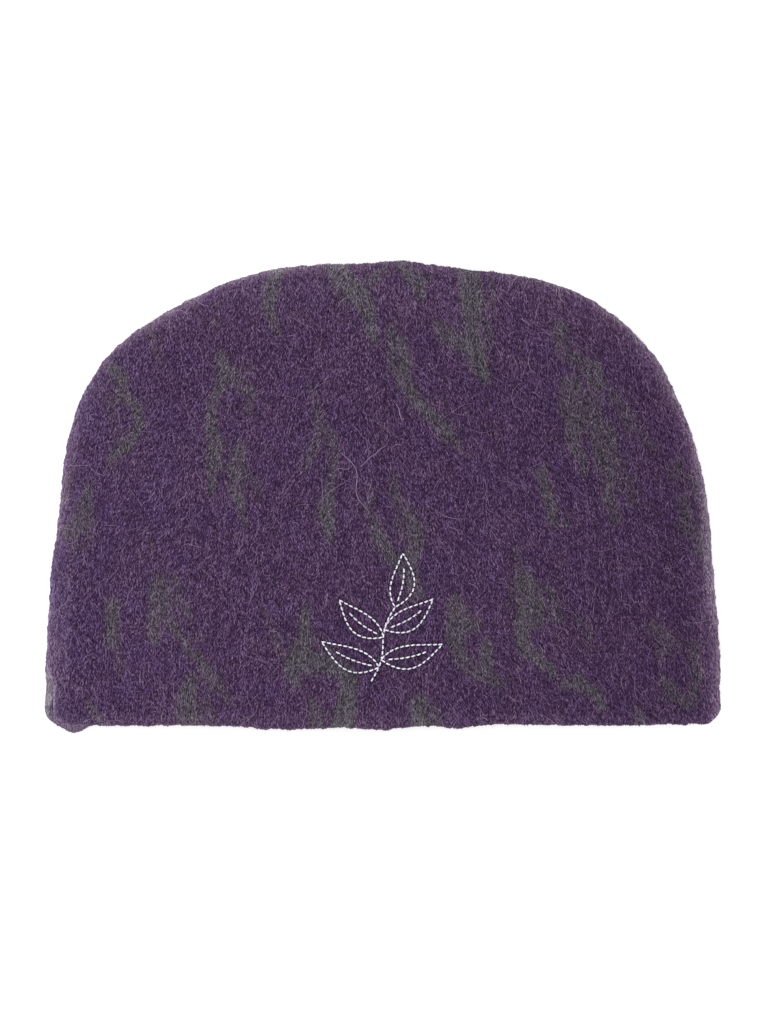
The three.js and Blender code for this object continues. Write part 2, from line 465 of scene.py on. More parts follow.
# Panels
panel = {
    "wall": 2.8,
    "seamHeight": 6.4,
    "seamGap": 0.16,
    "rollWidth": 6.5,
    "shoulder": 12.6,
    "crownRise": 2.6,
    "crownReach": 42.0,
    "spineHalf": 62.0,
    "columns": 480,
    "rollRows": 11,
    "fieldRows": {"front": 40, "back": 24},
    "rimRows": 6,
    "rimBulge": 0.85,
    "rimTufts": [(0.35, 2.4, 6), (0.2, 1.1, 8)],
    "rimLength": 4.1,       # round the rim from one skin to the other
    "underside": 0.45,      # room for the pile that lies pressed flat under the back
    "insideShift": 40.0,    # the inner skin's pattern comes from this far off
    "puckerPitch": 4.4,     # the seam's stitches draw the knit in this often
    "puckerDepth": 0.6,
    "puckerReach": 2.6,
    "puckerStray": [(0.9, 15, 3)],
    "puckerSwell": [(0.3, 9, 4)],
    "seamTufts": [(0.55, 2.4, 5), (0.25, 1.3, 9)],
    "grooveDepth": 0.35,
    "grooveReach": 0.9,
    "dentDepth": 0.35,      # of the knit under the stitches
    "dentReach": 1.5,
    "dimples": [(0.22, 13, 11)],
    "swells": [  # soft rises and hollows of the front: x, y, reach, lift
        (-78, -38, 34, 0.7),
        (-58, 34, 26, -0.7),
        (2, 58, 30, 0.5),
        (30, -12, 38, -0.5),
        (88, -44, 28, 0.6),
        (62, 42, 26, 0.5),
    ],
}
# The back panel's lower left corner rolls out past the front: the seam lies further in and higher there
cornerPeek = {
    "x": -118.5,
    "y": -80.5,
    "inner": 5.0,
    "reach": 13.5,
    "out": 4.1,
    "toward": (-0.2, -0.98),
    "seamLift": 3.4,
    "left": (-60.0, -90.0),   # x from where this starts to where it is full
    "peel": (-62.5, -70.5),   # the same in y, of the seam that turns in
    "seamIn": 4.2,
    "swell": (-59.0, -68.0),  # and of the back that comes to stand out past it
    "bulge": 2.8,
}


def fromCorner(x, y, aside=0.0):
    return np.hypot(x - cornerPeek["x"] - aside, y - cornerPeek["y"])


def skinGrid(side):
    # outer and inner skin of one panel on a grid: row 0 is the seam, the last row runs along the rim
    facing = 1 if side == "front" else -1
    rollWidth, rollRows, fieldRows = panel["rollWidth"], panel["rollRows"], panel["fieldRows"][side]
    angle = np.linspace(0, math.pi, panel["columns"] + 1)[None, :]
    edge = outlinePoint(angle)
    inward = inwardNormal(angle)
    rollEnd = edge + inward * rollWidth
    turn = np.linspace(0, math.pi / 2, rollRows + 1)[:, None]
    run = (np.arange(1, fieldRows + 1) / fieldRows)[:, None]
    spine = np.stack([panel["spineHalf"] * (1 - 2 * angle / math.pi), np.zeros_like(angle)], -1)
    fieldPlan = rollEnd + (spine - rollEnd) * run[..., None]
    plan = np.concatenate([edge + inward * rollWidth * (1 - np.cos(turn))[..., None], fieldPlan])
    flat = np.concatenate([rollEnd - inward * (rollWidth * (math.pi / 2 - turn))[..., None], fieldPlan])
    plan, flat = shapeRim(plan, side), shapeRim(flat, side)
    turn = np.concatenate([turn, np.full_like(run, math.pi / 2)]) + np.zeros_like(angle)
    pastRoll = np.zeros_like(turn)
    pastRoll[rollRows + 1:] = np.linalg.norm(fieldPlan - rollEnd, axis=-1)
    pastRoll[:rollRows + 1] = -rollWidth * np.cos(turn[:rollRows + 1])

    # the seam's puckers run a few millimetres in from the edge
    arc = lengthAlong(edge[0])
    phase = arc / panel["puckerPitch"] + clouds(arc, 0, panel["puckerStray"])
    tuft = np.abs(np.sin(math.pi * phase)) ** 0.5 * (0.5 + clouds(arc, 0, panel["puckerSwell"]))
    tuft = tuft + clouds(arc, 0, panel["seamTufts"])
    fromSeam = rollWidth * turn
    relief = panel["puckerDepth"] * (tuft - 0.5) * bell(fromSeam, panel["puckerReach"])
    relief = relief - panel["grooveDepth"] * bell(fromSeam, panel["grooveReach"])

    sine, cosine = np.sin(turn), np.cos(turn)
    corner = smoothStep(cornerPeek["reach"], cornerPeek["inner"], fromCorner(plan[..., 0], plan[..., 1]))
    seam = panel["seamHeight"] + cornerPeek["seamLift"] * corner + facing * panel["seamGap"] / 2
    onLeft = smoothStep(*cornerPeek["left"], plan[..., 0])
    shift = cornerPeek["seamIn"] * onLeft * smoothStep(*cornerPeek["peel"], plan[..., 1]) * cosine ** 2
    if side == "back":
        swell = cornerPeek["bulge"] * onLeft * smoothStep(*cornerPeek["swell"], plan[..., 1])
        shift = shift * cosine ** 2 - swell * 2 * sine * cosine
    plan = plan + shift[..., None] * inward
    if side == "front":
        top = panel["shoulder"] + panel["crownRise"] * (1 - bell(pastRoll, panel["crownReach"]))
        for x, y, reach, lift in panel["swells"]:
            top = top + lift * bell(np.hypot(plan[..., 0] - x, plan[..., 1] - y), reach)
        top = top + clouds(flat[..., 0], flat[..., 1], panel["dimples"])
        relief = relief - panel["dentDepth"] * nearStitches(plan, panel["dentReach"])
        z = seam + (top - seam) * sine
    else:
        plan = plan + (cornerPeek["out"] * corner * sine)[..., None] * np.array(cornerPeek["toward"])
        z = panel["underside"] + (seam - panel["underside"]) * (1 - sine)
    inward = inward + np.zeros_like(plan)
    outward = np.concatenate([-inward * cosine[..., None], (facing * sine)[..., None]], -1)
    outer = np.concatenate([plan, z[..., None]], -1) + outward * relief[..., None]
    wall = panel["wall"] - (panel["underside"] if side == "back" else 0)
    inner = outer - outward * (wall + relief)[..., None]
    return outer, inner, flat, outward


# Painted light: where the pile and knit are drawn paler, as grazing fibres catch the light where the knit
# turns away. Round the seam: degrees about the middle of the rim, then the paleness where the knit is
# steep, on the roll and in a broad soft band
paintedEdgeLight = [
    (0, 1.0, 0.45, 0.25),
    (12, 0.85, 0.1, 0.35),
    (20, 0.6, 0.85, 0.3),
    (28, 0.95, 0.6, 0.2),
    (42, 1.4, 0.1, 0.08),
    (52, 1.1, 0.1, 0.22),
    (62, 1.15, -0.25, 0.1),
    (70, 1.0, -0.2, 0.07),
    (78, 0.55, -0.12, -0.05),
    (88, 0.5, 0.0, 0.02),
    (96, 0.95, -0.25, 0.1),
    (104, 1.85, -0.55, 0.15),
    (111, 1.55, -0.75, 0.17),
    (118, 1.5, -0.2, 0.12),
    (130, 1.45, -0.4, 0.16),
    (138, 1.05, -0.05, 0.2),
    (146, 0.8, 0.3, 0.27),
    (154, 0.85, -0.22, 0.26),
    (162, 1.0, -0.1, 0.46),
    (170, 1.15, -0.3, 0.4),
    (178, 2.0, 0.2, 0.33),
]
paintedLightReach = {
    "level": 0.97,                # knit that looks up by this much or more isn't steep
    "steepest": 0.5,
    "steepPower": 0.7,
    "rimTurn": (-0.7, -0.25),     # y of the normal, over which the rim's turn gives way to the rest
    "rimLeast": 0.25,
    "roll": (6.5, 2.0),           # mm from the seam, where it starts and where it is full
    "broad": (12.0, 6.0),
    "crown": (0.17, 50.0, 78.0),  # paleness, and y where it starts and where it is full
    "rim": (0.22, -78.5, -82.5),
    "corner": 3.0,                # paleness of the back's corner, and how far aside its middle is
    "cornerAside": 2.0,
}


# painted light: how much paler the knit and pile are drawn where the knit turns away from above, on the
# roll, in a broad band by the seam, along the crown and the rim, and at the back's corner
def paintedLightShare(points, normals, side):
    x, y = points[:, 0], points[:, 1]
    height = np.maximum(y - outline["rimMiddle"], 0)
    heading = np.arctan2(height, x)
    angles, *glows = zip(*paintedEdgeLight)
    steep, roll, broad = [np.interp(np.degrees(heading), angles, glow) for glow in glows]
    fromSeam = np.linalg.norm(outlinePoint(heading), axis=-1) - np.hypot(x, height)
    level, least = paintedLightReach["level"], paintedLightReach["rimLeast"]
    share = np.clip((level - np.abs(normals[:, 2])) / (level - paintedLightReach["steepest"]), 0, 1)
    share = share ** paintedLightReach["steepPower"] * steep
    share = share * (least + (1 - least) * smoothStep(*paintedLightReach["rimTurn"], normals[:, 1]))
    share = share + roll * smoothStep(*paintedLightReach["roll"], fromSeam)
    share = share + broad * smoothStep(*paintedLightReach["broad"], fromSeam)
    for band in ("crown", "rim"):
        much, start, full = paintedLightReach[band]
        share = share + much * smoothStep(start, full, y)
    if side == "back":
        away = fromCorner(x, y, paintedLightReach["cornerAside"])
        share = np.maximum(share, paintedLightReach["corner"] * bell(away, cornerPeek["reach"]))
    return share


def gridQuads(index):
    return np.stack([index[:-1, :-1], index[:-1, 1:], index[1:, 1:], index[1:, :-1]], -1).reshape(-1, 4)


def makePanel(name, side, chart):
    outer, inner, flat, outward = skinGrid(side)
    rows, columns = outer.shape[0] - 1, outer.shape[1] - 1
    count = (rows + 1) * (columns + 1)
    outerIndex = np.arange(count).reshape(rows + 1, columns + 1)
    innerIndex = outerIndex + count

    # the edge between the skins: round the rim first, then along the seam
    rim = [(r, columns) for r in range(rows + 1)] + [(rows, c) for c in range(columns - 1, -1, -1)]
    rim += [(r, 0) for r in range(rows - 1, -1, -1)]
    row, column = np.array(rim + [(0, c) for c in range(1, columns)]).T
    onRim = (np.arange(len(row)) < len(rim)).astype(float)
    rimX = outer[row, column][:, 0]
    bulge = onRim * panel["rimBulge"] * (1 + clouds(rimX, 0, panel["rimTufts"]))
    steps = panel["rimRows"]
    borderPoints, borderFlats, lines = [], [], [outerIndex[row, column]]
    for k in range(1, steps):
        share = (1 - math.cos(math.pi * k / steps)) / 2
        middle = outer[row, column] * (1 - share) + inner[row, column] * share
        middle[:, 1] -= bulge * math.sin(math.pi * k / steps)
        lines.append(2 * count + (k - 1) * len(row) + np.arange(len(row)))
        borderPoints.append(middle)
        past = onRim * panel["rimLength"] * k / steps
        borderFlats.append(flat[row, column] - np.stack([0 * past, past], -1))
    lines.append(innerIndex[row, column])
    lines = np.array(lines)
    ahead = np.roll(lines, -1, axis=1)
    edgeFaces = np.stack([ahead[:-1], lines[:-1], lines[1:], ahead[1:]], -1).reshape(-1, 4)
    faces = np.concatenate([gridQuads(outerIndex), gridQuads(innerIndex)[:, ::-1], edgeFaces])
    if side == "back":
        faces = faces[:, ::-1]

    points = np.concatenate([outer.reshape(-1, 3), inner.reshape(-1, 3)] + borderPoints)
    flats = np.concatenate([flat.reshape(-1, 2)] * 2 + borderFlats)
    depth = np.repeat(np.arange(1, steps) / steps, len(row))
    inside = np.concatenate([np.zeros(count), np.ones(count), depth])
    made = makeObject(name, points, faces)
    storeOnPoints(made, "knit", np.column_stack([knitPlace(flats), inside * panel["insideShift"]]))
    storeOnPoints(made, "olive", oliveShare(flats, chart))

    # for the pile: the outer skin with the rim's turn, and the inner skin, both laid out flat
    rimLines = lines[:-1, :len(rim)]
    quads = np.concatenate([gridQuads(outerIndex), gridQuads(rimLines)])
    rimTurn = (np.arange(1, steps) * math.pi / steps)[:, None, None]
    rimNormals = outward[row, column] * np.cos(rimTurn) + np.array([0, -1, 0]) * np.sin(rimTurn)
    normals = np.concatenate([outward.reshape(-1, 3), -outward.reshape(-1, 3), rimNormals.reshape(-1, 3)])
    # the attribute "edge" holds the painted light: how much paler the knit is drawn at each point
    storeOnPoints(made, "edge", paintedLightShare(points, normals, side))
    return made, {
        "outside": makeSkin(points, flats, normals, quads),
        "inside": makeSkin(points, flats, normals, gridQuads(innerIndex)),
        "chart": chart,
    }


def makeSkin(points, flats, normals, quads):
    # a surface that can be looked up by its place on the flat knit
    triangles = np.concatenate([quads[:, [0, 1, 2]], quads[:, [0, 2, 3]]])
    tree = BVHTree.FromPolygons([(x, y, 0) for x, y in flats], triangles.tolist())
    return {"tree": tree, "points": points, "flats": flats, "normals": normals, "triangles": triangles}


def onSkin(skin, places):
    # the point, the outward direction and how far off the knit each flat place is
    found = [skin["tree"].find_nearest((x, y, 0)) for x, y in places.tolist()]
    near = np.array([spot[0][:2] for spot in found])
    corners = skin["triangles"][[spot[2] for spot in found]]
    a, b, c = (skin["flats"][corners[:, k]] for k in range(3))
    ab, ac, at = b - a, c - a, near - a
    size = ab[:, 0] * ac[:, 1] - ab[:, 1] * ac[:, 0]
    size = np.where(np.abs(size) < 1e-9, 1e-9, size)
    second = (at[:, 0] * ac[:, 1] - at[:, 1] * ac[:, 0]) / size
    third = (ab[:, 0] * at[:, 1] - ab[:, 1] * at[:, 0]) / size
    shares = np.clip(np.stack([1 - second - third, second, third], -1), 0, 1)
    shares /= shares.sum(1, keepdims=True)
    points = (skin["points"][corners] * shares[..., None]).sum(1)
    normals = unit((skin["normals"][corners] * shares[..., None]).sum(1))
    return points, normals, np.array([spot[3] for spot in found])


frontKnit, frontSkins = makePanel("front_knit", "front", frontChart)
backKnit, backSkins = makePanel("back_knit", "back", backChart)
print("panels:", len(frontKnit.data.polygons), "and", len(backKnit.data.polygons), "faces")


# Pile. Each kind of strand has its size and lift in mm, how it bends and how far its heading is spread, its
# mean tone and the spread of that, the share of strands drawn dark with painted shade as if down in the
# knit, the palest tone, how much darker painted shade makes its ends, and how much olive it takes
pile = {
    "loop": {"length": (1.4, 1.9), "width": 0.32, "lift": 0.26, "points": 3, "bend": 0.1, "spread": 9,
             "tone": (0.36, 0.07), "paintedShade": 0.12, "most": 0.8, "shade": 0.34, "olive": 0.9},
    "felt": {"length": (0.9, 2.2), "width": 0.155, "lift": 0.46, "points": 3, "bend": 0.2, "spread": 10,
             "tone": (0.5, 0.19), "paintedShade": 0.285, "most": 0.76, "shade": 0.34, "olive": 0.85},
    "curl": {"length": (3.0, 8.5), "width": 0.14, "lift": 0.62, "points": 5, "bend": 0.6, "spread": 28,
             "tone": (0.66, 0.15), "paintedShade": 0.0, "most": 0.9, "shade": 0.15, "olive": 0.5},
    "hair": {"length": (8.0, 16.0), "width": 0.15, "lift": 0.85, "points": 11, "bend": 1.0, "spread": 50,
             "tone": (0.7, 0.1), "paintedShade": 0.0, "most": 0.9, "shade": 0.1, "olive": 0.0},
    "stray": {"width": 0.22, "lift": 1.3, "points": 17, "tone": (0.86, 0.02), "paintedShade": 0.0, "most": 1.0,
              "shade": 0.05, "olive": 0.35},
}
tones = {
    "paintedShade": 0.05,                # tone of the strands drawn dark with painted shade
    "streak": 0.07,              # how much the tone changes from stitch column to stitch column
    "streakWidth": 1.7,
    "streakLength": 6.0,         # times its width
    "contrast": [(-100, 1.12), (100, 0.92)],  # x, and how far the tones are spread there
    "paintedSideLight": [(-125, 0.06), (-60, 0.03), (60, -0.03), (105, -0.09)],  # x, and how much paler: painted light, lighter on the left and darker on the right
    "paintedEdgeLift": 0.38,            # painted light: how much paler the pile is drawn where the knit turns away from above
    "paintedEdgeMost": (0.6, 0.27),     # from this painted paleness on the palest tone rises, at this rate
    "plumTint": 0.45,            # tint runs from violet at 0 over plum here to olive at 1
    "plumDrift": [(-125, -0.6), (-100, -0.3), (-30, 0.0)],  # x, and how much more plum
    "plumSize": 8.0,
    # plumEdge: how much more plum the painted pale edge is drawn
    "plumEdge": 0.3,
    "plumSpread": 0.2,
    "oliveSpread": (0.7, 1.3),
    "oliveEdge": 0.16,           # the painted pale edge takes a little olive, but not at the left
    "oliveEdgeFrom": (-100.0, 0.0),
}
growth = {
    "halfWidth": 131.0,          # of the field that the strands are drawn on
    "halfHeight": 92.0,
    "loopHalfWidth": 135.0,
    "sway": [(12, 16, 31), (7, 6, 32)],  # degrees that it is brushed to and fro
    "nap": [(-60, 0.0), (60, 8.0)],      # x, and degrees that it is brushed to the left there
    "legShare": 0.7,             # how far loose strands follow the legs of the stitches
    "offKnit": 0.6,              # a strand that reaches further off the knit isn't grown
    "stitchReach": 0.8,          # few strands grow through the stitches
    "stitchThinning": 1.1,
    "lift": (0.25, 1.0),         # shares of the kind's lift
    "rootLift": (-0.05, 0.1),
    "arch": 0.9,                 # share of a half wave that a strand's height follows
    "thickness": (0.75, 1.25),
    "lowest": 0.02,
    "rightStray": [(10, 12, 61)],  # how the border of the right half strays
    "underMargin": 0.25,         # how far above the underside itself its felt still grows
    "mouthDepth": 34.9,
    "cornerReach": 27.0,
}
pilePieces = []


def waleHeading(places):
    # the way that the stitch columns run, in radians
    lean = leanSide(places[:, 0]) * leanProfile(places[:, 1])
    return math.pi / 2 - np.arctan(lean)


def loopPlaces(leg, rng):
    # one leg of every stitch, -1 for the left ones and 1 for the right ones, with the way each leg lies
    across = np.linspace(-growth["loopHalfWidth"], growth["loopHalfWidth"], 2000)
    rows = math.ceil(growth["halfHeight"] / knit["row"])
    places = []
    for j in range(-rows, rows):
        level = j * knit["row"] + rowSag(across)
        column = columnPlace(across, level)
        columns = np.arange(math.ceil(column[0] / knit["column"]), math.floor(column[-1] / knit["column"]))
        x = np.interp((columns + leg / 4) * knit["column"], column, across)
        crowding = np.interp(x, across, np.gradient(column, across))
        x = x[rng.random(len(x)) * crowding < 1]
        places.append(np.stack([x, np.interp(x, across, level)], -1))
    places = np.concatenate(places)
    places += rng.normal(0, knit["unevenness"], places.shape)
    return places, waleHeading(places) - leg * math.radians(knit["legLean"])


def scatteredPlaces(count, rng):
    x, y = [rng.uniform(-half, half, count) for half in (growth["halfWidth"], growth["halfHeight"])]
    sway = clouds(x, y, growth["sway"]) + np.interp(x, *zip(*growth["nap"]))
    sway = sway + growth["legShare"] * knit["legLean"] * rng.choice([-1, 1], count)
    places = np.stack([x, y], -1)
    return places, waleHeading(places) + np.radians(sway)


def strandLines(places, headings, kind, rng):
    # centre lines drawn on the flat knit
    count, points = len(places), kind["points"]
    length = rng.uniform(*kind["length"], (count, 1))
    heading = headings + np.radians(rng.normal(0, kind["spread"], count))
    curl, twist = rng.normal(0, kind["bend"], (2, count, 1))
    share = np.linspace(-1, 1, points)[None, :]
    turned = heading[:, None] + curl * share + twist * share ** 2
    steps = np.stack([np.cos(turned), np.sin(turned)], -1) * (length / (points - 1))[..., None]
    lines = np.cumsum(steps, 1)
    return places[:, None] + lines - lines.mean(1, keepdims=True)


def addStrands(name, side, skin, lines, kindName, rng, flatten=1.0, paler=0.0):
    # raises the drawn lines off the panel as spindles
    kind = pile[kindName]
    skins = sides[side]
    count, points, _ = lines.shape
    spots, normals, off = onSkin(skins[skin], lines.reshape(-1, 2))
    off = off.reshape(count, points).max(1)
    spots, normals = spots.reshape(count, points, 3), normals.reshape(count, points, 3)
    middles, middleSpots, middleNormals = [rows[:, points // 2] for rows in (lines, spots, normals)]
    kept = off < growth["offKnit"]
    if side == "front":
        covered = growth["stitchThinning"] * nearStitches(middleSpots[:, :2], growth["stitchReach"])
        kept &= rng.random(count) > covered
    arch = np.cos(math.pi / 2 * np.linspace(-1, 1, points) * growth["arch"])
    height = kind["lift"] * rng.uniform(*growth["lift"], (count, 1)) * arch
    height = (height + rng.uniform(*growth["rootLift"], (count, 1))) * flatten
    raised = spots + normals * height[..., None]

    x, y = middles.T
    pale = paintedLightShare(middleSpots, middleNormals, side)
    middleTone, toneSpread = kind["tone"]
    tone = middleTone + toneSpread * np.interp(x, *zip(*tones["contrast"])) * rng.normal(0, 1, count)
    # painted shade: a share of the strands is drawn dark, as if down in the knit's shade
    tone = np.where(rng.random(count) < kind["paintedShade"], tones["paintedShade"], tone)
    column, row = knitPlace(middles).T
    tone = tone + tones["streak"] * cloud(column, row / tones["streakLength"], tones["streakWidth"], 51)
    # painted light: the pile is drawn paler where the knit turns away, and lighter on the left than on the
    # right
    tone = tone + paler + tones["paintedEdgeLift"] * pale + np.interp(x, *zip(*tones["paintedSideLight"]))
    palestFrom, rate = tones["paintedEdgeMost"]
    tone = np.minimum(tone, kind["most"] + rate * np.clip(pale - palestFrom, 0, 1))

    plum = 0.5 + 0.5 * cloud(x, y, tones["plumSize"], 41) + np.interp(x, *zip(*tones["plumDrift"]))
    plum = plum + tones["plumEdge"] * pale + rng.normal(0, tones["plumSpread"], count)
    tint = tones["plumTint"] * np.clip(plum, 0.02, 1)
    olive = kind["olive"] * oliveShare(middles, skins["chart"]) * rng.uniform(*tones["oliveSpread"], count)
    olive = olive + tones["oliveEdge"] * pale * smoothStep(*tones["oliveEdgeFrom"], x)
    tint = tint + (1 - tint) * np.clip(olive, 0, 1)
    pilePieces.append(spindles(name, raised[kept], normals[kept], kind, tone[kept], tint[kept], rng))


def strandShape(points):
    # corners of one strand: where each lies along it and which way it lies off the line, and the faces.
    # A short strand is a sliver with four corners, a long one a spindle with rings of three.
    if points == 3:
        along, turn = [0, 1, 1, 2], [None, 0.5, 0.0, None]
        return along, turn, [[0, 2, 1], [3, 1, 2], [0, 1, 3], [0, 3, 2]]
    between = points - 2
    last = between * 3 + 1
    along = [0] + [1 + k // 3 for k in range(between * 3)] + [points - 1]
    turn = [None] + [k % 3 / 3 for k in range(between * 3)] + [None]
    faces = [[0, 1 + k, 1 + (k + 1) % 3] for k in range(3)]
    faces += [[last - 3 + k, last, last - 3 + (k + 1) % 3] for k in range(3)]
    for ring in range(between - 1):
        low, high = 1 + ring * 3, 4 + ring * 3
        for k in range(3):
            following = (k + 1) % 3
            faces += [[low + k, high + k, high + following], [low + k, high + following, low + following]]
    return along, turn, faces


def spindles(name, lines, normals, kind, tone, tint, rng):
    # a strand along each line, pointed at both ends
    count, points, _ = lines.shape
    run = unit(np.gradient(lines, axis=1))
    across = unit(np.cross(run, normals))
    up = np.cross(across, run)
    radius = kind["width"] / 2 * rng.uniform(*growth["thickness"], (count, 1))
    along, turn, faces = strandShape(points)
    corners = []
    for at, angle in zip(along, turn):
        corner = lines[:, at]
        if angle is not None:
            spin = math.tau * angle
            corner = corner + radius * (math.cos(spin) * across[:, at] + math.sin(spin) * up[:, at])
        corners.append(corner)
    allPoints = np.stack(corners, 1)
    allPoints[..., 2] = np.maximum(allPoints[..., 2], growth["lowest"])
    size = len(along)
    faces = (np.array(faces)[None] + (np.arange(count) * size)[:, None, None]).reshape(-1, 3)
    made = makeObject(name, allPoints.reshape(-1, 3), faces, smooth=points > 3)

    # tone runs from the strand's ends, darkened with painted shade, to its lighter middle; the bake map
    # holds tone and tint
    middle = np.sin(math.pi * np.array(along) / (points - 1))
    lit = np.clip(tone[:, None] + kind["shade"] * (middle - 0.6), 0.01, 0.99)
    aside = 0.006 * np.array([0 if angle is None else math.cos(math.tau * angle) for angle in turn])
    storeOnPoints(made, "tone", lit.ravel())
    storeOnPoints(made, "tint", np.repeat(tint, size))
    storeBakeMap(made, np.stack([lit, np.clip(tint[:, None] + aside, 0.01, 0.99)], -1).reshape(-1, 2))
    return made


sides = {"front": frontSkins, "back": backSkins}


def grow(name, side, kindName, wanted, seed, count=0, leg=0, flatten=1.0, skin="outside"):
    # with a leg, one strand for that leg of each stitch, or else count strands scattered over the knit
    rng = np.random.default_rng(seed)
    places, headings = loopPlaces(leg, rng) if leg else scatteredPlaces(count, rng)
    chosen = wanted(places, side)
    lines = strandLines(places[chosen], headings[chosen], pile[kindName], rng)
    addStrands(name, side, skin, lines, kindName, rng, flatten)


def anywhere(places, side):
    return np.ones(len(places), bool)


def onRight(places, side):
    return places[:, 0] > clouds(*places.T, growth["rightStray"])


def underneath(places, side):
    return onSkin(sides[side]["outside"], places)[0][:, 2] <= panel["underside"] + growth["underMargin"]


def onRoll(places, side):
    return ~underneath(places, side)


def nearMouth(places, side):
    return places[:, 1] < outline["rimMiddle"] + growth["mouthDepth"]


def atCorner(places, side):
    return fromCorner(*places.T) < growth["cornerReach"]


grow("front_left_legs", "front", "loop", anywhere, 201, leg=-1)
grow("front_right_legs", "front", "loop", anywhere, 211, leg=1)
for letter, seed in zip("abc", (202, 212, 222)):
    grow("front_felt_" + letter, "front", "felt", anywhere, seed, 46000)
grow("front_curls", "front", "curl", anywhere, 203, 3100)
grow("front_right_curls", "front", "curl", onRight, 213, 2600)
grow("front_hairs", "front", "hair", anywhere, 204, 240)
grow("back_left_legs", "back", "loop", onRoll, 205, leg=-1)
grow("back_right_legs", "back", "loop", onRoll, 215, leg=1)
grow("back_roll_felt", "back", "felt", onRoll, 206, 110000)
grow("back_under_felt", "back", "felt", underneath, 207, 15000, flatten=0.3)
grow("front_inner_felt", "front", "felt", nearMouth, 208, 20000, skin="inside")
grow("back_inner_felt", "back", "felt", nearMouth, 209, 20000, skin="inside")
grow("corner_felt", "back", "felt", atCorner, 219, 120000, skin="inside")
print("pile:", sum(len(made.data.polygons) for made in pilePieces), "triangles")

# The few longest hairs: how much paler or darker each is than the kind, and its line over the knit
strayHairs = [
    (0.16, [(-16.3, 16.4), (-12.8, 13.5), (-10.2, 10.7), (-9.2, 8.0), (-9.5, 5.1), (-10.1, 1.3),
            (-9.0, -1.6), (-4.7, -6.4)]),
    (0.05, [(1.6, 18.3), (-0.9, 17.0), (-2.6, 15.1), (-5.1, 13.6), (-6.9, 11.3), (-8.8, 10.3)]),
    (0.0, [(-17.2, 9.6), (-15.6, 9.9), (-14.0, 9.5), (-11.7, 9.9)]),
    (-0.04, [(-11.5, 25.8), (-9.4, 24.3), (-7.6, 21.6), (-5.4, 19.9), (-4.3, 18.0), (-2.4, 16.6)]),
    (-0.06, [(-22.5, 7), (-22, 1), (-22.3, -6)]),
    (0.08, [(4.7, 33.5), (5.9, 31.6), (6.2, 29.4), (7.3, 26.6)]),
    (-0.05, [(-2.3, 26.5), (0.4, 25.2), (2.8, 23.3)]),
]


def makeStrayHairs():
    rng = np.random.default_rng(210)
    steps = pile["stray"]["points"]
    lines = []
    for _, route in strayHairs:
        route = np.array(route, float)
        line = pointsAlong(route, np.linspace(0, lengthAlong(route)[-1], steps))
        padded = np.pad(line, ((1, 1), (0, 0)), "reflect", reflect_type="odd")
        lines.append(0.25 * padded[:-2] + 0.5 * padded[1:-1] + 0.25 * padded[2:])
    paler = np.array([paleness for paleness, _ in strayHairs])
    addStrands("front_stray_hairs", "front", "outside", np.array(lines), "stray", rng, 1.0, paler)


makeStrayHairs()


def makeStitches():
    # two plies twisted round each other for every stitch, dipping into the knit at both ends
    rng = np.random.default_rng(7)
    rings, corners = 9, 6
    share = np.linspace(0, 1, rings)
    points, faces = [], []
    for start, end in stitches:
        plan = start + (end - start) * share[:, None]
        run = unit(end - start)
        side = np.array([-run[1], run[0], 0.0])
        ground = onSkin(frontSkins["outside"], plan)[0][:, 2]
        arch = (sprig["archHeight"] + sprig["sink"]) * np.sin(math.pi * share) ** 0.6 - sprig["sink"]
        centre = np.column_stack([plan, ground + arch])
        up = np.cross(unit(np.gradient(centre, axis=0)), side)
        up *= np.sign(up[:, 2:3])
        angle = rng.uniform(0, math.pi) + math.tau * sprig["twists"] * share
        swell = 0.55 + 0.45 * np.sin(math.pi * share) ** 0.5
        for ply in (angle, angle + math.pi):
            away = sprig["threadRadius"] * sprig["plyPlace"]
            middle = centre + away * (np.cos(ply)[:, None] * side + np.sin(ply)[:, None] * up)
            first = len(points)
            for k in range(rings):
                for c in range(corners):
                    turn = math.tau * c / corners
                    out = math.cos(turn) * side + math.sin(turn) * up[k]
                    points.append(middle[k] + sprig["threadRadius"] * sprig["plyRadius"] * swell[k] * out)
            for k in range(rings - 1):
                low, high = first + k * corners, first + (k + 1) * corners
                for c in range(corners):
                    after = (c + 1) % corners
                    faces.append([low + c, low + after, high + after, high + c])
            faces.append([first + c for c in range(corners)][::-1])
            faces.append([first + (rings - 1) * corners + c for c in range(corners)])
    return makeObject("stitched_sprig", points, faces)


stitchedSprig = makeStitches()
print("sprig:", len(stitches), "stitches")


# Materials
class Field:
    # a value on its way through a material: arithmetic on it adds Math nodes
    def __init__(self, maker, socket):
        self.maker = maker
        self.socket = socket

    def math(self, operation, first, second):
        return self.maker.node("ShaderNodeMath", {"operation": operation}, {0: first, 1: second})

    def __add__(self, other):
        return self.math("ADD", self, other)

    __radd__ = __add__

    def __sub__(self, other):
        return self.math("SUBTRACT", self, other)

    def __rsub__(self, other):
        return self.math("SUBTRACT", other, self)

    def __mul__(self, other):
        return self.math("MULTIPLY", self, other)

    __rmul__ = __mul__


